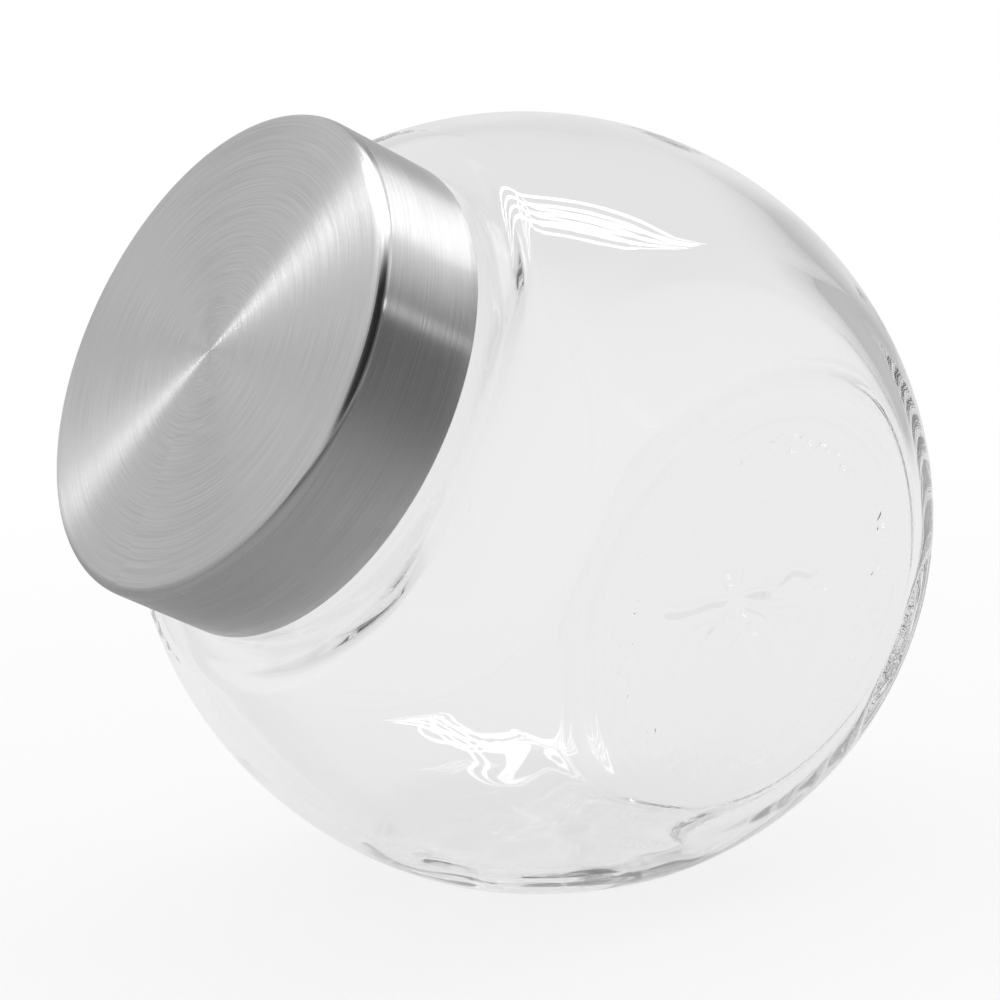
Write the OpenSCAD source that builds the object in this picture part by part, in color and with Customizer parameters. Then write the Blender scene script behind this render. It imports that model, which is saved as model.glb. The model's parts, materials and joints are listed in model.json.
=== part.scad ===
// Tilt jar: a round glass storage jar that lies tipped back, with a screw lid of brushed steel.
// Millimetres, +Z up. The origin is the middle of the small flat that the jar lies on.
// The neck leans towards -X, and the two flat side panels face -Y and +Y.

/* [Glass body] */
// Largest diameter of the round body, measured square to the neck axis
body_d = 175; // [170:1:200]
// Radius of the body's side arc in a section along the neck axis
barrel_r = 95.6; // [92:0.2:105]
// Distance from the body centre to each flat side panel
panel_dist = 62.3; // [56:0.1:70]
// Distance from the body centre to the flat base opposite the neck
base_drop = 71.8; // [66:0.1:76]
// Distance from the body centre to the shoulder around the neck
shoulder_h = 64; // [60:0.1:66]
// Radius of the rounding between the side arc and the shoulder
shoulder_r = 8; // [6:0.5:10]
// Radius of the heel between the side arc and the base
heel_r = 13; // [10:0.5:16]
// Thickness of the side wall
wall_t = 4; // [3:0.1:6]
// Thickness of the base
base_t = 8; // [6:0.1:12]
// Thickness of the glass behind the shoulder
shoulder_t = 5; // [4:0.1:8]

/* [Resting on the side] */
// Angle of the neck axis above the table
neck_rise = 30; // [26:1:40]
// Distance from the body centre to the small flat that the jar lies on
rest_dist = 83.4; // [81:0.1:85]

/* [Base recess] */
// Width of the ring that the jar stands on when upright
ring_w = 13; // [8:0.5:18]
// Depth of the shallow recess inside the ring, where it meets its deeper middle
recess_h = 1.2; // [0.6:0.1:3]
// Radius of the deeper middle of the recess
dish_r = 26.9; // [20:0.1:32]
// Depth of the deeper middle below the recess
dish_h = 0.5; // [0.3:0.1:2]
// Width of the slope around the deeper middle
dish_slope = 3; // [1:0.5:6]

/* [Neck] */
// Outer diameter of the neck, without its thread
neck_d = 100; // [90:0.5:104]
// Length of the neck from the shoulder to the rim
neck_h = 26; // [24:0.1:30]
// Thickness of the neck's wall
neck_t = 5; // [4:0.1:7]
// Rounding of the rim, on both edges
rim_round = 1.8; // [1:0.1:1.9]
// Radius of the hollow where the neck meets the shoulder
neck_root_r = 8; // [5:0.1:9]

/* [Thread] */
// Number of thread ramps around the neck, and of lugs in the lid
starts = 4; // [3:1:4]
// Rise of the lid in one full turn
lead = 24; // [22:0.5:28]
// Angle that each ramp covers
ramp_arc = 80; // [60:1:85]
// How far a ramp stands out from the neck
ramp_proud = 1.6; // [1.2:0.1:2]
// Height of a ramp where it meets the neck
ramp_root_w = 2.6; // [2:0.1:3]
// Height of a ramp at its crest
ramp_crest_w = 1.4; // [1:0.1:1.8]
// Height above the shoulder at which a ramp starts
ramp_start = 11; // [10:0.1:12]
// Angle from a ramp's low end to the middle of its lug when the lid is shut
lug_seat = 25; // [15:1:40]
// Angle that each lug covers
lug_arc = 10; // [6:1:12]
// Height of a lug
lug_h = 1.6; // [1.2:0.1:2]
// Gap between a lug's top and the ramp above it
lug_gap = 0.4; // [0.3:0.05:0.6]
// Radial gap between glass and plastic in the thread
thread_gap = 0.5; // [0.4:0.05:0.8]

/* [Lid] */
// Thickness of the steel shell
shell_t = 0.6; // [0.4:0.05:1]
// Radius of the rounded edge between face and skirt
lid_edge_r = 2.6; // [2:0.1:4]
// Gap between the lid's rim and the shoulder when the lid is shut
rim_gap = 3.4; // [3:0.1:5]
// Width of the hem that is turned in under the plastic
hem_w = 1.9; // [1.4:0.1:2.4]
// Thickness of the inner cap's top
insert_top_t = 1.6; // [1.2:0.1:3]
// Thickness of the inner cap's wall
insert_wall_t = 2.2; // [1.8:0.1:3]
// Gap between the inner cap and the shell's skirt
insert_gap = 0.1; // [0.05:0.01:0.2]
// Thickness of the seal
seal_t = 1.6; // [1:0.1:3]
// How far the seal reaches inwards past the rim
seal_reach = 1; // [0.5:0.1:2]
// Gap between the seal and the inner cap, so that the cap turns on it freely
seal_gap = 0.05; // [0.02:0.01:0.2]

/* [Hidden] */
$fn = 96;

// A length that reaches past the whole jar, for half spaces
far = 2 * body_d;
// How far a cut or a joined piece runs past the face it meets
over = 0.6;

// The side arc's centre lies past the axis by this much
barrel_off = barrel_r - body_d / 2;
// The heel's and the shoulder's arcs are set out a little, so that they cross the side arc cleanly
arc_out = 0.3;

rim_h = shoulder_h + neck_h;
neck_r = neck_d / 2;
mouth_r = neck_r - neck_t;
// The inside of the neck root follows the outside
mouth_root_r = neck_root_r + shoulder_t / 2;

insert_top_h = rim_h + seal_t + seal_gap + insert_top_t;
lid_face_h = insert_top_h + shell_t;
lid_rim_h = shoulder_h + rim_gap;
insert_in_r = neck_r + ramp_proud + thread_gap;
insert_out_r = insert_in_r + insert_wall_t;
lid_r = insert_out_r + insert_gap + shell_t;

pitch = lead / 360;
ramp_steps = 10;
// The crest sinks into the neck over this many steps at each end
ramp_fade = 2;
ramp_low = shoulder_h + ramp_start;
lug_top_h = ramp_low + pitch * (lug_seat - lug_arc / 2) - ramp_root_w / 2 - lug_gap;

// Puts what is drawn along the neck axis, from the body centre, into the resting pose
module along_neck() {
    translate([0, 0, rest_dist])
        rotate([0, neck_rise - 90, 0])
            children();
}

// Where a rounding of radius r between the side arc and a flat end at height h has its middle:
// [distance from the neck axis, height], and the height at which the rounding leaves the side arc
function end_round(arc_r, h, r) =
    let (
        mid_h = h - sign(h) * r,
        mid_dist = arc_r - r + arc_out
    )
    [sqrt(mid_dist * mid_dist - mid_h * mid_h) - barrel_off, mid_h, mid_h * arc_r / mid_dist];

// Section of the round body: the side arc with a flat floor and top, both with rounded edges
module body_section(inset, floor_h, top_h, heel, shoulder) {
    arc_r = barrel_r - inset;
    low = end_round(arc_r, floor_h, heel);
    high = end_round(arc_r, top_h, shoulder);
    intersection() {
        translate([-barrel_off, 0]) circle(r = arc_r);
        union() {
            translate([0, low[2]]) square([far, high[2] - low[2]]);
            translate([0, floor_h]) square([low[0], low[2] - floor_h + over]);
            translate([low[0], low[1]]) circle(r = heel);
            translate([0, high[2] - over]) square([high[0], top_h - high[2] + over]);
            translate([high[0], high[1]]) circle(r = shoulder);
        }
    }
}

// The round body with its two panels and the resting flat cut off, drawn in by inset
// It is turned so that the round surface starts and ends where a panel cuts it away
module body_form(inset, floor_h, top_h, heel, shoulder) {
    half_w = panel_dist - inset;
    intersection() {
        along_neck() rotate(90) rotate_extrude() body_section(inset, floor_h, top_h, heel, shoulder);
        translate([-far, -half_w, inset]) cube([2 * far, 2 * half_w, 2 * far]);
    }
}

// Section of the neck as a full plug, with a rounded rim and a hollow root on the shoulder
module neck_section() {
    foot_h = shoulder_h - over;
    round_h = rim_h - rim_round;
    translate([0, foot_h]) square([neck_r, round_h - foot_h]);
    translate([0, foot_h]) square([neck_r - rim_round, rim_h - foot_h]);
    translate([neck_r - rim_round, round_h]) circle(r = rim_round);
    difference() {
        translate([neck_r - over, foot_h]) square([neck_root_r + over, neck_root_r + over]);
        translate([neck_r + neck_root_r, shoulder_h + neck_root_r]) circle(r = neck_root_r);
    }
}

// Section of the mouth, cut from the hollow body up through the neck, rounded at its root and rim
module mouth_section() {
    root_h = shoulder_h - shoulder_t;
    foot_h = root_h - over;
    round_h = rim_h - rim_round;
    translate([0, foot_h]) square([mouth_r, rim_h + over - foot_h]);
    difference() {
        translate([0, foot_h]) square([mouth_r + mouth_root_r, mouth_root_r + over]);
        translate([mouth_r + mouth_root_r, root_h + mouth_root_r]) circle(r = mouth_root_r);
    }
    difference() {
        translate([0, round_h]) square([mouth_r + rim_round, rim_round + over]);
        translate([mouth_r + rim_round, round_h]) circle(r = rim_round);
    }
}

// Corner points of a thread ramp's section at one step, faded out towards both ends
function ramp_ring(i) =
    let (
        a = i * ramp_arc / ramp_steps,
        fade = min(1, min(i, ramp_steps - i) / ramp_fade),
        crest = neck_r - over / 2 + fade * (ramp_proud + over / 2),
        h = ramp_low + pitch * a,
        section = [
            [neck_r - over, -ramp_root_w / 2],
            [crest, -ramp_crest_w / 2],
            [crest, ramp_crest_w / 2],
            [neck_r - over, ramp_root_w / 2]
        ]
    )
    [for (p = section) [p[0] * cos(a), p[0] * sin(a), h + p[1]]];

// One thread ramp, a ridge that climbs around the neck
module ramp() {
    points = [for (i = [0 : ramp_steps]) each ramp_ring(i)];
    last = 4 * ramp_steps;
    sides = [
        for (i = [0 : ramp_steps - 1], k = [0 : 3])
            let (a = 4 * i + k, b = 4 * i + (k + 1) % 4)
            each [[a, b, a + 4], [b, b + 4, a + 4]]
    ];
    ends = [[0, 2, 1], [0, 3, 2], [last, last + 1, last + 2], [last, last + 2, last + 3]];
    polyhedron(points, concat(sides, ends));
}

// Section of the recess in the base, a shallow cone inside the ring with a deeper flat middle
module recess_section() {
    recess_r = end_round(barrel_r, -base_drop, heel_r)[0] - ring_w;
    step_h = recess_h - base_drop;
    polygon([
        [0, -base_drop - over],
        [recess_r, -base_drop - over],
        [recess_r, -base_drop],
        [dish_r, step_h],
        [dish_r - dish_slope, step_h + dish_h],
        [0, step_h + dish_h]
    ]);
}

module glass_jar() {
    floor_h = base_t - base_drop;
    color("lightcyan", 0.4) difference() {
        union() {
            body_form(0, -base_drop, shoulder_h, heel_r, shoulder_r);
            along_neck() {
                rotate_extrude() neck_section();
                for (k = [0 : starts - 1]) rotate(k * 360 / starts) ramp();
            }
        }
        body_form(wall_t, floor_h, shoulder_h - shoulder_t, heel_r - wall_t, shoulder_r - wall_t);
        along_neck() {
            rotate_extrude() mouth_section();
            rotate_extrude() recess_section();
        }
    }
}

// Section of a cap from its rim up to its face, with a rounded edge, drawn in by inset
module cap_section(inset) {
    edge_x = lid_r - lid_edge_r;
    edge_h = lid_face_h - lid_edge_r;
    translate([0, lid_rim_h]) square([lid_r - inset, edge_h - lid_rim_h]);
    translate([0, lid_rim_h]) square([edge_x, lid_face_h - inset - lid_rim_h]);
    translate([edge_x, edge_h]) circle(r = lid_edge_r - inset);
}

module lid_shell() {
    color("silver") along_neck() rotate_extrude() {
        difference() {
            cap_section(0);
            cap_section(shell_t);
        }
        translate([lid_r - shell_t - hem_w, lid_rim_h]) square([hem_w + over / 2, shell_t]);
    }
}

module lid_insert() {
    foot_h = lid_rim_h + shell_t;
    ceiling_h = insert_top_h - insert_top_t;
    // The top edge is cut back to clear the rounded edge of the shell
    bevel = lid_edge_r;
    color("whitesmoke") along_neck() {
        rotate_extrude() polygon([
            [0, insert_top_h],
            [insert_out_r - bevel, insert_top_h],
            [insert_out_r, insert_top_h - bevel],
            [insert_out_r, foot_h],
            [insert_in_r, foot_h],
            [insert_in_r, ceiling_h],
            [0, ceiling_h]
        ]);
        for (k = [0 : starts - 1])
            rotate(k * 360 / starts + lug_seat - lug_arc / 2)
                rotate_extrude(angle = lug_arc)
                    translate([neck_r + thread_gap, lug_top_h - lug_h])
                        square([insert_in_r - neck_r - thread_gap + over, lug_h]);
    }
}

module lid_seal() {
    seal_in_r = mouth_r - seal_reach;
    color("gainsboro") along_neck() translate([0, 0, rim_h]) difference() {
        cylinder(h = seal_t, r = insert_in_r - thread_gap);
        translate([0, 0, -over]) cylinder(h = seal_t + 2 * over, r = seal_in_r);
    }
}

glass_jar();
lid_shell();
lid_insert();
lid_seal();
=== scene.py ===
import json
from math import atan2, pi, radians, sin, sqrt

import bmesh
import bpy
from mathutils import Matrix, Vector, noise


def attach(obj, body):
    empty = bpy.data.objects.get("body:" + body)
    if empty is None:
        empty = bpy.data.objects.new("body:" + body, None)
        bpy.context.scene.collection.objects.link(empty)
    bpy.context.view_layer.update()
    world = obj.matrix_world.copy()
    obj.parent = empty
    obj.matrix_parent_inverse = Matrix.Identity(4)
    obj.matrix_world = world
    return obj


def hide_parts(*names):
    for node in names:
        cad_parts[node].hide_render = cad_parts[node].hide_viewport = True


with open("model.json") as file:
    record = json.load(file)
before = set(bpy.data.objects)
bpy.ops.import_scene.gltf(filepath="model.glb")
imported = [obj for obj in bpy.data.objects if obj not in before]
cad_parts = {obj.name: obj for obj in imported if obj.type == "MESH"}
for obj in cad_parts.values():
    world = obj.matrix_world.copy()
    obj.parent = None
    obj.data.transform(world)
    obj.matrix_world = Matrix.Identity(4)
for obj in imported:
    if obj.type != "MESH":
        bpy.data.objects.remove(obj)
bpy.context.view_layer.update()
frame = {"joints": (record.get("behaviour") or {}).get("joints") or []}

scene = bpy.context.scene
scene.view_settings.view_transform = "Standard"
# light goes through four walls of glass and back and forth inside them
scene.cycles.max_bounces = 128
scene.cycles.glossy_bounces = 96
scene.cycles.transmission_bounces = 64

# every round piece is drawn in millimetres round the neck line, then set into the frame
millimetre = 0.001
turnJoint = next(j for j in frame["joints"] if j["name"] == "lid_turn")
bodyCentre = Vector(turnJoint["pos_m"])
neckLine = Vector(turnJoint["axis"]).normalized()
neckTurn = Vector((0, 0, 1)).rotation_difference(neckLine).to_matrix().to_4x4()
neckPlace = Matrix.Translation(bodyCentre) @ neckTurn @ Matrix.Scale(millimetre, 4)
downInNeck = neckTurn.inverted() @ Vector((0, 0, -1))


def smoothStep(value, low, high):
    share = min(1, max(0, (value - low) / (high - low)))
    return share * share * (3 - 2 * share)


def angleOf(y, x):
    return atan2(y, x) * 180 / pi


# a pen draws half of a section, at y = 0, and turnRound spins it about the neck line
def penStart(bm, r, h):
    return bm.verts.new((r, 0, h))


def penLine(bm, tip, r, h, steps=1):
    start, end = tip.co.copy(), Vector((r, 0, h))
    for k in range(steps):
        tip = bmesh.ops.extrude_vert_indiv(bm, verts=[tip])["verts"][0]
        tip.co = start.lerp(end, (k + 1) / steps)
    return tip


def penEase(bm, tip, r, h, steps):
    # a step with a soft foot and a soft brow
    start = tip.co.copy()
    for k in range(steps):
        share = (k + 1) / steps
        soft = smoothStep(share, 0, 1)
        tip = penLine(bm, tip, start.x + (r - start.x) * share, start.z + (h - start.z) * soft)
    return tip


def penArc(bm, tip, centre, turn, steps):
    # a positive turn goes from the bottom of a circle to its right-hand side
    made = bmesh.ops.spin(bm, geom=[tip], cent=(centre[0], 0, centre[1]), axis=(0, -1, 0),
                          dvec=(0, 0, 0), angle=radians(turn), steps=steps, use_merge=False,
                          use_normal_flip=False, use_duplicate=False)
    return next(g for g in made["geom_last"] if isinstance(g, bmesh.types.BMVert))


def turnRound(bm, steps, weld=0.002):
    bmesh.ops.spin(bm, geom=bm.verts[:] + bm.edges[:], cent=(0, 0, 0), axis=(0, 0, 1),
                   dvec=(0, 0, 0), angle=2 * pi, steps=steps, use_merge=True,
                   use_normal_flip=False, use_duplicate=False)
    bmesh.ops.remove_doubles(bm, verts=bm.verts, dist=weld)
    bmesh.ops.recalc_face_normals(bm, faces=bm.faces)


def finishPiece(bm, name, material, body, node):
    bmesh.ops.transform(bm, matrix=neckPlace, verts=bm.verts)
    mesh = bpy.data.meshes.new(name)
    bm.to_mesh(mesh)
    bm.free()
    mesh.shade_smooth()
    mesh.materials.append(material)
    piece = bpy.data.objects.new(name, mesh)
    scene.collection.objects.link(piece)
    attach(piece, body)
    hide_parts(node)
    print("made", name, len(mesh.vertices), "points", len(mesh.polygons), "faces")


def newMaterial(name):
    material = bpy.data.materials.new(name)
    material.use_nodes = True
    tree = material.node_tree
    return material, tree, tree.nodes["Principled BSDF"]


def makeRamp(tree, source, low, high, atLow, atHigh):
    ramp = tree.nodes.new("ShaderNodeMapRange")
    ramp.interpolation_type = "SMOOTHSTEP"
    ramp.inputs["From Min"].default_value = low
    ramp.inputs["From Max"].default_value = high
    ramp.inputs["To Min"].default_value = atLow
    ramp.inputs["To Max"].default_value = atHigh
    tree.links.new(source, ramp.inputs["Value"])
    return ramp.outputs["Result"]


def combine(tree, how, first, second):
    node = tree.nodes.new("ShaderNodeMath")
    node.operation = how
    tree.links.new(first, node.inputs[0])
    tree.links.new(second, node.inputs[1])
    return node.outputs["Value"]


def makeNoise(tree, way, scale, detail):
    spots = tree.nodes.new("ShaderNodeTexNoise")
    spots.inputs["Scale"].default_value = scale
    spots.inputs["Detail"].default_value = detail
    tree.links.new(way, spots.inputs["Vector"])
    return spots.outputs["Fac"]


def addBump(tree, shader, height, strength, depth):
    bump = tree.nodes.new("ShaderNodeBump")
    bump.inputs["Strength"].default_value = strength
    bump.inputs["Distance"].default_value = depth
    tree.links.new(height, bump.inputs["Height"])
    tree.links.new(bump.outputs["Normal"], shader.inputs["Normal"])


glassLook = {"tint": (1, 1, 1, 1), "ior": 1.5, "roughness": 0.0,
             "greyDensity": 0.6, "greyColour": (0.31, 0.31, 0.31, 1),
             "rippleScale": 60, "rippleDetail": 1, "rippleBump": 0.04, "rippleDepth": 0.001}


def makeGlass(look):
    material, tree, shader = newMaterial("clear_glass")
    shader.inputs["Base Color"].default_value = look["tint"]
    shader.inputs["Roughness"].default_value = look["roughness"]
    shader.inputs["IOR"].default_value = look["ior"]
    shader.inputs["Transmission Weight"].default_value = 1
    grey = tree.nodes.new("ShaderNodeVolumeAbsorption")
    grey.inputs["Color"].default_value = look["greyColour"]
    grey.inputs["Density"].default_value = look["greyDensity"]
    tree.links.new(grey.outputs["Volume"], tree.nodes["Material Output"].inputs["Volume"])
    place = tree.nodes.new("ShaderNodeTexCoord").outputs["Object"]
    ripple = makeNoise(tree, place, look["rippleScale"], look["rippleDetail"])
    addBump(tree, shader, ripple, look["rippleBump"], look["rippleDepth"])
    return material


# edgeFrom and edgeTo are in metres along the shell's section, from the middle of its face
steelLook = {"colour": 0.63, "grain": 0.09, "grainScale": (11, 5200, 1), "grainRange": (0.3, 0.7),
             "roughness": 0.32, "roughSpread": 0.04, "ringRange": (0.25, 0.75), "markDetail": 4,
             "anisotropic": 1, "quarterTurn": 0.25,
             "turnScale": (5, 1900, 1), "turnBump": 0.14, "turnDepth": 0.0003,
             "edgeFrom": 0.0545, "edgeTo": 0.058, "edgeSoft": 0.0004, "edgeRoughness": 0.12}


def makeMarks(tree, way, scale, detail):
    # tool marks run round the lid, so the pattern is drawn out that way
    stretch = tree.nodes.new("ShaderNodeMapping")
    stretch.inputs["Scale"].default_value = scale
    tree.links.new(way, stretch.inputs["Vector"])
    return makeNoise(tree, stretch.outputs["Vector"], 1, detail)


def makeSteel(look):
    material, tree, shader = newMaterial("turned_steel")
    shader.inputs["Metallic"].default_value = 1
    shader.inputs["Anisotropic"].default_value = look["anisotropic"]
    shader.inputs["Anisotropic Rotation"].default_value = look["quarterTurn"]
    tangent = tree.nodes.new("ShaderNodeTangent")
    tangent.direction_type = "UV_MAP"
    tangent.uv_map = "turned"
    tree.links.new(tangent.outputs["Tangent"], shader.inputs["Tangent"])
    turned = tree.nodes.new("ShaderNodeUVMap")
    turned.uv_map = "turned"
    way = turned.outputs["UV"]
    rings = makeMarks(tree, way, look["turnScale"], look["markDetail"])
    scratches = makeMarks(tree, way, look["grainScale"], look["markDetail"])
    shade = makeRamp(tree, scratches, *look["grainRange"], look["colour"] * (1 - look["grain"]),
                     look["colour"] * (1 + look["grain"]))
    tree.links.new(shade, shader.inputs["Base Color"])
    # the bent edge is polished, the face and the skirt are brushed
    split = tree.nodes.new("ShaderNodeSeparateXYZ")
    tree.links.new(way, split.inputs["Vector"])
    along, soft = split.outputs["Y"], look["edgeSoft"]
    before = makeRamp(tree, along, look["edgeFrom"], look["edgeFrom"] + soft, 1, 0)
    after = makeRamp(tree, along, look["edgeTo"] - soft, look["edgeTo"], 0, 1)
    brushed = makeRamp(tree, combine(tree, "ADD", before, after), 0, 1, look["edgeRoughness"],
                       look["roughness"])
    spread = makeRamp(tree, rings, *look["ringRange"], -look["roughSpread"], look["roughSpread"])
    tree.links.new(combine(tree, "ADD", brushed, spread), shader.inputs["Roughness"])
    addBump(tree, shader, rings, look["turnBump"], look["turnDepth"])
    return material


plasticLook = {"colour": (0.86, 0.86, 0.84, 1), "roughness": 0.38, "grain": 900, "grainDetail": 2,
               "grainBump": 0.1, "grainDepth": 0.0002}
sealLook = {"colour": (0.8, 0.81, 0.79, 1), "roughness": 0.5, "grain": 500, "grainDetail": 2,
            "grainBump": 0.15, "grainDepth": 0.0002}


def makePlastic(name, look):
    material, tree, shader = newMaterial(name)
    shader.inputs["Base Color"].default_value = look["colour"]
    shader.inputs["Roughness"].default_value = look["roughness"]
    place = tree.nodes.new("ShaderNodeTexCoord").outputs["Object"]
    grain = makeNoise(tree, place, look["grain"], look["grainDetail"])
    addBump(tree, shader, grain, look["grainBump"], look["grainDepth"])
    return material


clearGlass = makeGlass(glassLook)
turnedSteel = makeSteel(steelLook)
whitePlastic = makePlastic("white_plastic", plasticLook)
softSeal = makePlastic("soft_seal", sealLook)
print("materials ready")


# the glass jar: r goes out from the neck line, h goes up along it from the middle of the body
jar = {"barrelR": 95.6, "barrelOff": 8.1, "baseH": -71.8, "heelR": 13, "shoulderH": 64,
       "shoulderR": 8, "wall": 4, "floorT": 8, "shoulderT": 5, "neckR": 50, "neckWall": 5,
       "neckRoot": 6, "innerRoot": 7, "rimH": 90, "rimRound": 1.8, "ringIn": 37.3, "recess": 0.5,
       "dishR": 26.9, "dish": 0.15, "slope": 2, "columns": 300,
       # the side panels, their corners at the shoulder, and the flat that the jar lies on
       "panel": 62.3, "panelSoft": 3.4, "innerSoft": 3, "rest": 83.4, "restSoft": 3,
       "restWall": 4.4, "restInnerSoft": 9, "cornerR": 12, "cornerSoft": 5, "cornerIn": 9,
       "cornerInSoft": 4, "cornerNear": (14, 6), "cornerFade": (1, 8),
       "easeReach": 9, "easeTimes": 3, "easeShare": 0.5,
       # the thread on the neck, with angles in degrees
       "starts": 4, "lead": 24, "rampArc": 80, "rampProud": 1.6, "rampStart": 75, "rampHalf": 1.3,
       "rampEdge": (0.5, 1.3), "rampEnd": 5, "rampBefore": 40,
       # the stipple and the mould line under the base
       "dotsOut": 45, "dotMargin": 0.3, "dotDeep": 0.36, "dotCells": (1.7, 2.3),
       "dotEdge": (0.35, 0.65), "seamR": 48, "seamHalf": 0.6, "seamProud": 0.12,
       # the folds of the floor, each with its bearing, length and share of the height
       "folds": ((-62, 31, 1), (-80, 24, 0.6), (-98, 29, 0.8), (-128, 24, 0.7), (110, 31, 1),
                 (64, 15, 0.8), (152, 22, 0.6), (15, 20, 0.6)),
       "foldProud": 0.72, "foldHalf": 1.7, "foldFlare": 20, "foldOut": 31, "foldBend": 12,
       "foldBendSize": 9, "foldApart": 3, "foldStart": 5, "foldFade": 9,
       "ripple": 0.14, "rippleSize": 13, "rippleWide": 0.3, "rippleOut": 35, "rippleFade": 12,
       # the waves of the inner walls, which are stronger near the flat
       "wave": 0.16, "waveSize": 24, "restWave": 0.3, "restWaveSize": 11, "restNear": (40, 75),
       "restShift": (7, 3, 5), "noiseLayer": 0.5, "rippleLayer": 30,
       # how close counts as on the surface
       "neckSlack": 0.1, "baseSlack": 0.01, "floorSlack": 0.5}


def tangentFlat(arcR, off, flatH, cornerR):
    # where a flat at that height starts its rounding into the barrel arc
    return sqrt((arcR - cornerR) ** 2 - (abs(flatH) - cornerR) ** 2) - off


def drawJarSection(bm, j):
    # the outside, from the middle of the base up to the mouth
    off, base, top = j["barrelOff"], j["baseH"], j["shoulderH"]
    dishTop = base + j["recess"] + j["dish"]
    tip = penStart(bm, 0, dishTop)
    tip = penLine(bm, tip, j["dishR"] - j["slope"], dishTop, steps=6)
    tip = penEase(bm, tip, j["dishR"], base + j["recess"], steps=6)
    tip = penEase(bm, tip, j["ringIn"], base, steps=9)
    tip = penLine(bm, tip, j["dotsOut"], base, steps=9)
    heelFlat = tangentFlat(j["barrelR"], off, base, j["heelR"])
    heelMid = base + j["heelR"]
    heelAngle = angleOf(-heelMid, heelFlat + off)
    tip = penLine(bm, tip, heelFlat, base, steps=8)
    tip = penArc(bm, tip, (heelFlat, heelMid), 90 - heelAngle, steps=12)
    topFlat = tangentFlat(j["barrelR"], off, top, j["shoulderR"])
    topMid = top - j["shoulderR"]
    topAngle = angleOf(topMid, topFlat + off)
    tip = penArc(bm, tip, (-off, 0), heelAngle + topAngle, steps=62)
    tip = penArc(bm, tip, (topFlat, topMid), 90 - topAngle, steps=8)
    rootR = j["neckR"] + j["neckRoot"]
    tip = penLine(bm, tip, rootR, top)
    tip = penArc(bm, tip, (rootR, top + j["neckRoot"]), -90, steps=12)
    rimMid = j["rimH"] - j["rimRound"]
    tip = penLine(bm, tip, j["neckR"], rimMid, steps=22)
    tip = penArc(bm, tip, (j["neckR"] - j["rimRound"], rimMid), 90, steps=5)
    mouthR = j["neckR"] - j["neckWall"]
    tip = penLine(bm, tip, mouthR + j["rimRound"], j["rimH"])
    tip = penArc(bm, tip, (mouthR + j["rimRound"], rimMid), 90, steps=5)
    outerCount = len(bm.verts)
    # the inside, from the mouth down to the middle of the floor
    inTop = top - j["shoulderT"]
    rootMid = inTop + j["innerRoot"]
    tip = penLine(bm, tip, mouthR, rootMid, steps=9)
    tip = penArc(bm, tip, (mouthR + j["innerRoot"], rootMid), 90, steps=12)
    inR, inCorner = j["barrelR"] - j["wall"], j["shoulderR"] - j["wall"]
    inFlat = tangentFlat(inR, off, inTop, inCorner)
    inMid = inTop - inCorner
    inAngle = angleOf(inMid, inFlat + off)
    tip = penLine(bm, tip, inFlat, inTop, steps=4)
    tip = penArc(bm, tip, (inFlat, inMid), inAngle - 90, steps=6)
    inBase, heelIn = base + j["floorT"], j["heelR"] - j["wall"]
    floorFlat = tangentFlat(inR, off, inBase, heelIn)
    floorMid = inBase + heelIn
    floorAngle = angleOf(-floorMid, floorFlat + off)
    tip = penArc(bm, tip, (-off, 0), -inAngle - floorAngle, steps=84)
    tip = penArc(bm, tip, (floorFlat, floorMid), floorAngle - 90, steps=10)
    tip = penLine(bm, tip, j["foldOut"], inBase, steps=10)
    penLine(bm, tip, 0, inBase, steps=28)
    return outerCount


def pressFlat(place, out, dist, soft):
    # flattens what stands past a plane, with a rounded edge
    reach = place.dot(out)
    if reach <= dist - soft:
        return place
    pressed = dist if reach >= dist + soft else reach - (reach - dist + soft) ** 2 / (4 * soft)
    return place + out * (pressed - reach)


def pressPanels(j, place, panel, top, soft, cornerR, cornerSoft):
    # the two side panels, and a rounded corner where each one meets the shoulder
    nearFrom, nearTo = j["cornerNear"]
    fadeFrom, fadeTo = j["cornerFade"]
    for way in (Vector((0, 1, 0)), Vector((0, -1, 0))):
        place = pressFlat(place, way, panel, soft)
        near = smoothStep(place.dot(way), panel - nearFrom, panel - nearTo)
        near *= 1 - smoothStep(place.z, top + fadeFrom, top + fadeTo)
        if near > 0 and place.z > 0:
            corner = (way + Vector((0, 0, 1))).normalized()
            limit = (panel + top) / sqrt(2) - (sqrt(2) - 1) * cornerR
            place = place.lerp(pressFlat(place, corner, limit, cornerSoft), near)
    return place


def threadOut(j, angle, h):
    # how far a start of the thread stands out of the neck at that angle and height
    best, end = 0, j["rampEnd"]
    low, high = j["rampEdge"]
    for k in range(j["starts"]):
        past = (angle - 360 * k / j["starts"] + j["rampBefore"]) % 360 - j["rampBefore"]
        if -end < past < j["rampArc"] + end:
            off = abs(h - j["rampStart"] - j["lead"] * past / 360)
            side = 1 - smoothStep(off, low * j["rampHalf"], high * j["rampHalf"])
            ends = smoothStep(past, -end, end) * smoothStep(j["rampArc"] - past, -end, end)
            best = max(best, side * ends)
    return best * j["rampProud"]


def dressBase(j, place, r, angle):
    # dots on the inner part of the ring, and the fine line that the mould's plate leaves
    if j["ringIn"] + j["dotMargin"] < r < j["dotsOut"] - j["dotMargin"]:
        perDegree, perMillimetre = j["dotCells"]
        spread = noise.cell(Vector((angle * perDegree, r * perMillimetre, j["noiseLayer"])))
        place.z += j["dotDeep"] * smoothStep(spread, *j["dotEdge"])
    elif abs(r - j["seamR"]) >= j["seamHalf"]:
        place.z += j["seamProud"]


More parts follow.
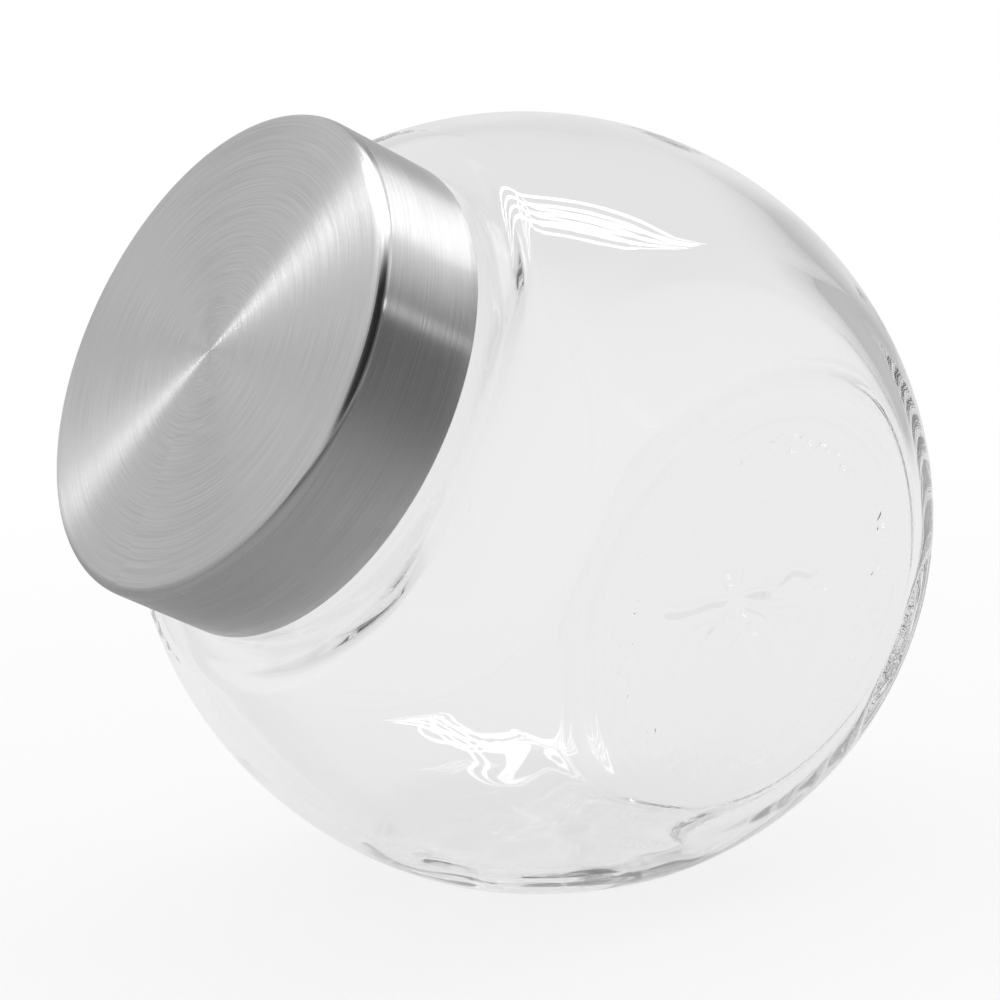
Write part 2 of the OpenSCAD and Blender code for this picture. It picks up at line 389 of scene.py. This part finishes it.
def foldFloor(j, place, r, angle):
    # soft wandering folds run out from the middle of the floor, among faint ripples
    for k, (at, length, height) in enumerate(j["folds"]):
        wander = Vector((r / j["foldBendSize"], j["foldApart"] * k, j["noiseLayer"]))
        bend = j["foldBend"] * noise.noise(wander)
        off = abs((angle - at - bend + 180) % 360 - 180)
        aside = r * sin(radians(min(off, 90)))
        fold = 1 - smoothStep(aside, 0, j["foldHalf"] + r / j["foldFlare"])
        reach = smoothStep(r, 0, j["foldStart"]) * smoothStep(length - r, 0, j["foldFade"])
        place.z += j["foldProud"] * height * fold * reach
    ripple = abs(noise.noise(Vector((place.x, place.y, j["rippleLayer"])) / j["rippleSize"]))
    ripple = 1 - smoothStep(ripple, 0, j["rippleWide"])
    place.z += j["ripple"] * ripple * smoothStep(j["rippleOut"] - r, 0, j["rippleFade"])


def shapeOutside(j, place, r, h, angle):
    rootTop = j["shoulderH"] + j["neckRoot"]
    if h > rootTop and r > j["neckR"] - j["neckSlack"]:
        out = threadOut(j, angle, h)
        place.x += out * place.x / r
        place.y += out * place.y / r
    if h < j["baseH"] + j["baseSlack"]:
        dressBase(j, place, r, angle)
    if h < rootTop:
        place = pressPanels(j, place, j["panel"], j["shoulderH"], j["panelSoft"], j["cornerR"],
                            j["cornerSoft"])
        place = pressFlat(place, downInNeck, j["rest"], j["restSoft"])
    return place


def shapeInside(j, place, r, h, angle):
    inTop, inBase = j["shoulderH"] - j["shoulderT"], j["baseH"] + j["floorT"]
    if h < inTop + j["innerRoot"]:
        place = pressPanels(j, place, j["panel"] - j["wall"], inTop, j["innerSoft"],
                            j["cornerIn"], j["cornerInSoft"])
        place = pressFlat(place, downInNeck, j["rest"] - j["restWall"], j["restInnerSoft"])
        outward = place.normalized()
        near = smoothStep(place.dot(downInNeck), *j["restNear"])
        shifted = place / j["restWaveSize"] + Vector(j["restShift"])
        wave = j["wave"] * noise.noise(place / j["waveSize"])
        wave += j["restWave"] * near * noise.noise(shifted)
        place -= outward * wave
    if h < inBase + j["floorSlack"]:
        foldFloor(j, place, r, angle)
    return place


def shapeJar(bm, j, inside):
    for v in bm.verts:
        place = v.co.copy()
        r = sqrt(place.x ** 2 + place.y ** 2)
        shape = shapeInside if v[inside] > 0.5 else shapeOutside
        v.co = shape(j, place, r, place.z, angleOf(place.y, place.x))


def makeJar(j):
    bm = bmesh.new()
    inside = bm.verts.layers.float.new("inside")
    outerCount = drawJarSection(bm, j)
    bm.verts.ensure_lookup_table()
    for v in bm.verts[outerCount:]:
        v[inside] = 1
    turnRound(bm, j["columns"])
    shapeJar(bm, j, inside)
    # ease the inner edges of the panels, which cross the rings of points aslant
    edge = [v for v in bm.verts if v[inside] > 0.5 and v.co.z < j["shoulderH"]
            and abs(abs(v.co.y) - j["panel"]) < j["easeReach"]]
    for k in range(j["easeTimes"]):
        bmesh.ops.smooth_vert(bm, verts=edge, factor=j["easeShare"], use_axis_x=True,
                              use_axis_y=True, use_axis_z=True)
    bm.normal_update()
    finishPiece(bm, "glass_jar_visual", clearGlass, "jar", "glass_jar")


# the lid: steel shell, plastic insert and seal
shell = {"r": 55, "faceH": 93.85, "edgeR": 2.6, "sheet": 0.6, "rimH": 67.4, "hem": 1.9,
         "hemRoll": 0.3, "rollR": 0.45, "axisNear": 0.01, "columns": 360}


def drawShellSection(bm, s):
    edgeMid, rollMid = s["r"] - s["edgeR"], s["rimH"] + s["rollR"]
    tip = penStart(bm, 0, s["faceH"])
    tip = penLine(bm, tip, edgeMid, s["faceH"], steps=14)
    tip = penArc(bm, tip, (edgeMid, s["faceH"] - s["edgeR"]), -90, steps=10)
    tip = penLine(bm, tip, s["r"], rollMid, steps=10)
    tip = penArc(bm, tip, (s["r"] - s["rollR"], rollMid), -90, steps=5)
    # the hem, then up the inside of the sheet and along under the face
    inR, roll = s["r"] - s["sheet"], s["hemRoll"]
    hemMid = inR - s["hem"] + roll
    tip = penLine(bm, tip, hemMid, s["rimH"], steps=2)
    tip = penArc(bm, tip, (hemMid, s["rimH"] + roll), -180, steps=6)
    tip = penLine(bm, tip, inR, s["rimH"] + 2 * roll, steps=2)
    inFace = s["faceH"] - s["sheet"]
    inEdgeH = inFace - (s["edgeR"] - s["sheet"])
    tip = penLine(bm, tip, inR, inEdgeH, steps=6)
    tip = penArc(bm, tip, (edgeMid, inEdgeH), 90, steps=6)
    penLine(bm, tip, 0, inFace, steps=6)


def makeShell(s):
    bm = bmesh.new()
    drawShellSection(bm, s)
    # distance along the section goes with each point, for the turned pattern
    along = bm.verts.layers.float.new("along")
    bm.verts.ensure_lookup_table()
    for v in bm.verts:
        v[along] = abs(v.co.x) + abs(s["faceH"] - v.co.z)
    turnRound(bm, s["columns"])
    turned = bm.loops.layers.uv.new("turned")
    for face in bm.faces:
        middle = face.calc_center_median()
        midTurn = atan2(middle.y, middle.x) / (2 * pi)
        for loop in face.loops:
            co, turn = loop.vert.co, midTurn
            if abs(co.x) + abs(co.y) > s["axisNear"]:
                turn = atan2(co.y, co.x) / (2 * pi)
            turn += round(midTurn - turn)
            loop[turned].uv = (turn, loop.vert[along] * millimetre)
    finishPiece(bm, "lid_shell_visual", turnedSteel, "lid", "lid_shell")


insert = {"outR": 54.3, "inR": 52.1, "topH": 93.25, "topT": 1.6, "rimH": 68, "round": 0.5,
          "edgeR": 2, "inEdgeR": 1, "lugs": 4, "lugAt": 20, "lugArc": 10, "lugLow": 73.03,
          "lugHigh": 74.63, "lugIn": 50.5, "lugMargin": 0.1, "wallSlack": 0.01, "columns": 240}


def pushLugs(bm, s):
    # short lugs that run under the jar's thread
    for v in bm.verts:
        r = sqrt(v.co.x ** 2 + v.co.y ** 2)
        past = (angleOf(v.co.y, v.co.x) - s["lugAt"]) % (360 / s["lugs"])
        onWall = abs(r - s["inR"]) < s["wallSlack"]
        if onWall and s["lugLow"] < v.co.z < s["lugHigh"] and past < s["lugArc"]:
            v.co.x *= s["lugIn"] / r
            v.co.y *= s["lugIn"] / r


def makeInsert(s):
    bm = bmesh.new()
    edgeMid, rimMid = s["outR"] - s["edgeR"], s["rimH"] + s["round"]
    tip = penStart(bm, 0, s["topH"])
    tip = penLine(bm, tip, edgeMid, s["topH"], steps=6)
    tip = penArc(bm, tip, (edgeMid, s["topH"] - s["edgeR"]), -90, steps=6)
    tip = penLine(bm, tip, s["outR"], rimMid, steps=5)
    tip = penArc(bm, tip, (s["outR"] - s["round"], rimMid), -90, steps=4)
    tip = penLine(bm, tip, s["inR"] + s["round"], s["rimH"])
    tip = penArc(bm, tip, (s["inR"] + s["round"], rimMid), -90, steps=4)
    tip = penLine(bm, tip, s["inR"], s["lugLow"] - s["lugMargin"], steps=2)
    tip = penLine(bm, tip, s["inR"], s["lugHigh"] + s["lugMargin"], steps=6)
    inTop = s["topH"] - s["topT"]
    inEdgeH = inTop - s["inEdgeR"]
    tip = penLine(bm, tip, s["inR"], inEdgeH, steps=5)
    tip = penArc(bm, tip, (s["inR"] - s["inEdgeR"], inEdgeH), 90, steps=5)
    penLine(bm, tip, 0, inTop, steps=6)
    turnRound(bm, s["columns"])
    pushLugs(bm, s)
    finishPiece(bm, "lid_insert_visual", whitePlastic, "lid", "lid_insert")


seal = {"outR": 51.5, "inR": 44.1, "lowH": 90, "highH": 91.6, "round": 0.4, "columns": 200}


def makeSeal(s):
    bm = bmesh.new()
    inMid, outMid = s["inR"] + s["round"], s["outR"] - s["round"]
    lowMid, highMid = s["lowH"] + s["round"], s["highH"] - s["round"]
    first = penStart(bm, s["inR"], lowMid)
    tip = penArc(bm, first, (inMid, lowMid), 90, steps=4)
    tip = penLine(bm, tip, outMid, s["lowH"], steps=4)
    tip = penArc(bm, tip, (outMid, lowMid), 90, steps=4)
    tip = penLine(bm, tip, s["outR"], highMid, steps=2)
    tip = penArc(bm, tip, (outMid, highMid), 90, steps=4)
    tip = penLine(bm, tip, inMid, s["highH"], steps=4)
    tip = penArc(bm, tip, (inMid, highMid), 90, steps=4)
    bm.edges.new((tip, first))
    turnRound(bm, s["columns"])
    finishPiece(bm, "lid_seal_visual", softSeal, "seal", "lid_seal")


makeJar(jar)
makeShell(shell)
makeInsert(insert)
makeSeal(seal)


# the surround, with patches that each have a direction, the cosines at their rim and at their
# heart, and the levels outside and inside
studio = {"ambient": 0.7, "horizon": 0.785, "dome": 0.7, "domeRange": (0, 0.6),
          "patches": {"side": ((1, 0.15, 0), 0.8, 0.95, 1, 0.62),
                      "backdrop": ((-0.45, 0.8, 0.3), 0.1, 0.8, 0.24, 0.77),
                      "ceiling": ((0.2, 0, 0.98), 0.78, 0.96, 0, 1.6),
                      "panel": ((0.391, 0.624, 0.677), 0, 0.44, 0, 0.75),
                      "overPanel": ((0.282, 0.825, 0.49), 0.74, 0.86, 1, 0.2),
                      "stripIn": ((0.474, 0.319, 0.821), 0.32, 0.385, 0, 1),
                      "stripOut": ((0.474, 0.319, 0.821), 0.385, 0.45, 1, 0),
                      "right": ((1, 0, 0), 0.45, 0.7, 0, 1),
                      "left": ((-0.9, -0.35, 0.3), 0.6, 0.95, 0, 0.42),
                      "glow": ((-0.52, 0.3, 0.8), 0.94, 0.995, 0, 0.75),
                      "dark": ((-0.15, -0.8, 0.58), 0.66, 0.9, 1, 0.1)}}


def towards(tree, way, direction):
    facing = tree.nodes.new("ShaderNodeVectorMath")
    facing.operation = "DOT_PRODUCT"
    facing.inputs[1].default_value = Vector(direction).normalized()
    tree.links.new(way, facing.inputs[0])
    return facing.outputs["Value"]


def makePatch(tree, way, patch):
    direction, rim, heart, outside, inside = patch
    return makeRamp(tree, towards(tree, way, direction), rim, heart, outside, inside)


def chooseByRay(tree, test, when, otherwise):
    ray = tree.nodes.new("ShaderNodeLightPath")
    pick = tree.nodes.new("ShaderNodeMix")
    pick.data_type = "FLOAT"
    tree.links.new(ray.outputs[test], pick.inputs[0])
    for socket, value in ((pick.inputs[2], otherwise), (pick.inputs[3], when)):
        if isinstance(value, float):
            socket.default_value = value
        else:
            tree.links.new(value, socket)
    return pick.outputs[0]


def sortRays(tree, byGlass, bySteel, otherwise):
    # glass and its sharp reflections see a pale surround, brushed steel sees a dim room, and
    # the camera sees white
    shown = chooseByRay(tree, "Is Singular Ray", byGlass, bySteel)
    level = chooseByRay(tree, "Is Glossy Ray", shown, otherwise)
    level = chooseByRay(tree, "Is Transmission Ray", byGlass, level)
    return chooseByRay(tree, "Is Camera Ray", 1.0, level)


def makeWorld(s):
    world = bpy.data.worlds.new("studio")
    world.use_nodes = True
    scene.world = world
    tree = world.node_tree
    way = tree.nodes.new("ShaderNodeTexCoord").outputs["Generated"]
    split = tree.nodes.new("ShaderNodeSeparateXYZ")
    tree.links.new(way, split.inputs["Vector"])
    patch = {name: makePatch(tree, way, value) for name, value in s["patches"].items()}
    # what glass shows: white, greyer overhead and on one side
    dome = makeRamp(tree, split.outputs["Z"], *s["domeRange"], s["horizon"], s["dome"])
    byGlass = combine(tree, "MULTIPLY", dome, patch["side"])
    # what steel reflects: a dim room with a white backdrop, a lit ceiling and bright panels
    panel = combine(tree, "MULTIPLY", patch["panel"], patch["overPanel"])
    strip = combine(tree, "MULTIPLY", patch["stripIn"], patch["stripOut"])
    panel = combine(tree, "MULTIPLY", combine(tree, "ADD", panel, strip), patch["right"])
    left = combine(tree, "ADD", patch["left"], patch["glow"])
    room = combine(tree, "ADD", patch["backdrop"], patch["ceiling"])
    room = combine(tree, "ADD", room, combine(tree, "ADD", panel, left))
    bySteel = combine(tree, "MULTIPLY", room, patch["dark"])
    back = tree.nodes["Background"]
    back.inputs["Color"].default_value = (1, 1, 1, 1)
    tree.links.new(sortRays(tree, byGlass, bySteel, s["ambient"]), back.inputs["Strength"])


floorLook = {"half": 6, "colour": (0.9, 0.9, 0.9, 1), "shadowShare": 0.18,
             "clearRange": (0.16, 0.5), "inGloss": 0.34, "front": 0.16,
             "frontRange": (-0.5, -0.06), "beyond": 0.2, "beyondRange": (-1.2, -0.5),
             "under": 0.6, "underX": (-0.06, 0.03), "underY": (-0.08, 0.02),
             "inGlass": 0.86, "farRange": (0.3, 1.6)}


def makeFloorMaterial(look, surround):
    material, tree, shader = newMaterial("pale_floor")
    shader.inputs["Base Color"].default_value = look["colour"]
    shader.inputs["Roughness"].default_value = 1
    shader.inputs["Specular IOR Level"].default_value = 0
    place = tree.nodes.new("ShaderNodeTexCoord").outputs["Object"]
    split = tree.nodes.new("ShaderNodeSeparateXYZ")
    tree.links.new(place, split.inputs["Vector"])
    away = tree.nodes.new("ShaderNodeVectorMath")
    away.operation = "LENGTH"
    tree.links.new(place, away.inputs[0])
    # steel sees a greyer table than the eye and the glass do
    table = makeRamp(tree, split.outputs["Y"], *look["frontRange"], look["front"],
                     look["inGloss"])
    under = combine(tree, "MULTIPLY",
                    makeRamp(tree, split.outputs["X"], *look["underX"], 0, 1),
                    makeRamp(tree, split.outputs["Y"], *look["underY"], 0, look["under"]))
    beyond = makeRamp(tree, split.outputs["Y"], *look["beyondRange"], look["beyond"], 0)
    table = combine(tree, "ADD", combine(tree, "ADD", table, beyond), under)
    # far out, the floor that the glass shows takes on the surround's own greys
    bearing = tree.nodes.new("ShaderNodeVectorMath")
    bearing.operation = "NORMALIZE"
    tree.links.new(place, bearing.inputs[0])
    direction, rim, heart, plain, grey = surround["patches"]["side"]
    side = makeRamp(tree, towards(tree, bearing.outputs["Vector"], direction), rim, heart,
                    0, plain - grey)
    far = makeRamp(tree, away.outputs["Value"], *look["farRange"], 0, 1)
    kept = tree.nodes.new("ShaderNodeMath")
    kept.operation = "SUBTRACT"
    kept.inputs[0].default_value = 1
    tree.links.new(combine(tree, "MULTIPLY", side, far), kept.inputs[1])
    depth = makeRamp(tree, far, 0, 1, look["inGlass"], surround["horizon"])
    inGlass = combine(tree, "MULTIPLY", kept.outputs["Value"], depth)
    white = tree.nodes.new("ShaderNodeEmission")
    tree.links.new(sortRays(tree, inGlass, table, 1.0), white.inputs["Strength"])
    # near the object the floor takes its shadow, further out it is plain white
    clear = makeRamp(tree, away.outputs["Value"], *look["clearRange"], 1 - look["shadowShare"], 1)
    mix = tree.nodes.new("ShaderNodeMixShader")
    tree.links.new(clear, mix.inputs["Fac"])
    tree.links.new(shader.outputs["BSDF"], mix.inputs[1])
    tree.links.new(white.outputs["Emission"], mix.inputs[2])
    tree.links.new(mix.outputs["Shader"], tree.nodes["Material Output"].inputs["Surface"])
    return material


def makeFloor(look, surround):
    bm = bmesh.new()
    bmesh.ops.create_grid(bm, x_segments=1, y_segments=1, size=look["half"])
    mesh = bpy.data.meshes.new("pale_floor")
    bm.to_mesh(mesh)
    bm.free()
    mesh.materials.append(makeFloorMaterial(look, surround))
    floor = bpy.data.objects.new("pale_floor", mesh)
    scene.collection.objects.link(floor)


tubes = {"count": 4, "length": 2.2, "wide": 0.03, "step": 0.075, "level": 7,
         "toBank": (0.12, 0.17, 0.97), "far": 1.2, "along": (0.818, -0.573, -0.05)}


def makeTubes(t):
    # a bank of lamps overhead, which the glass shows as slats
    toBank = Vector(t["toBank"]).normalized()
    along = Vector(t["along"]).normalized()
    along = (along - toBank * along.dot(toBank)).normalized()
    across = toBank.cross(along)
    turn = Matrix((along, across, toBank)).transposed().to_4x4()
    for k in range(t["count"]):
        lamp = bpy.data.lights.new("tube%d" % k, "AREA")
        lamp.shape = "RECTANGLE"
        lamp.size, lamp.size_y = t["length"], t["wide"]
        lamp.energy = t["level"] * pi * t["length"] * t["wide"]
        holder = bpy.data.objects.new("tube%d" % k, lamp)
        scene.collection.objects.link(holder)
        offset = across * t["step"] * (k - (t["count"] - 1) / 2)
        holder.matrix_world = Matrix.Translation(bodyCentre + toBank * t["far"] + offset) @ turn


viewer = {"lens": 133.2, "sensor": 36, "clipNear": 0.01, "place": (-0.4668, -0.6686, 0.2634),
          "sight": (0.55171, 0.8062, -0.2140), "upward": (0.16319, 0.1473, 0.9756)}


def makeCamera(c):
    lens = bpy.data.cameras.new("photo_camera")
    lens.lens, lens.sensor_width = c["lens"], c["sensor"]
    lens.clip_start = c["clipNear"]
    eye = bpy.data.objects.new("photo_camera", lens)
    scene.collection.objects.link(eye)
    sight = Vector(c["sight"]).normalized()
    right = sight.cross(Vector(c["upward"])).normalized()
    upward = right.cross(sight)
    turn = Matrix((right, upward, -sight)).transposed().to_4x4()
    eye.matrix_world = Matrix.Translation(c["place"]) @ turn
    scene.camera = eye


makeFloor(floorLook, studio)
makeWorld(studio)
makeTubes(tubes)
makeCamera(viewer)
print("floor, light and camera ready")
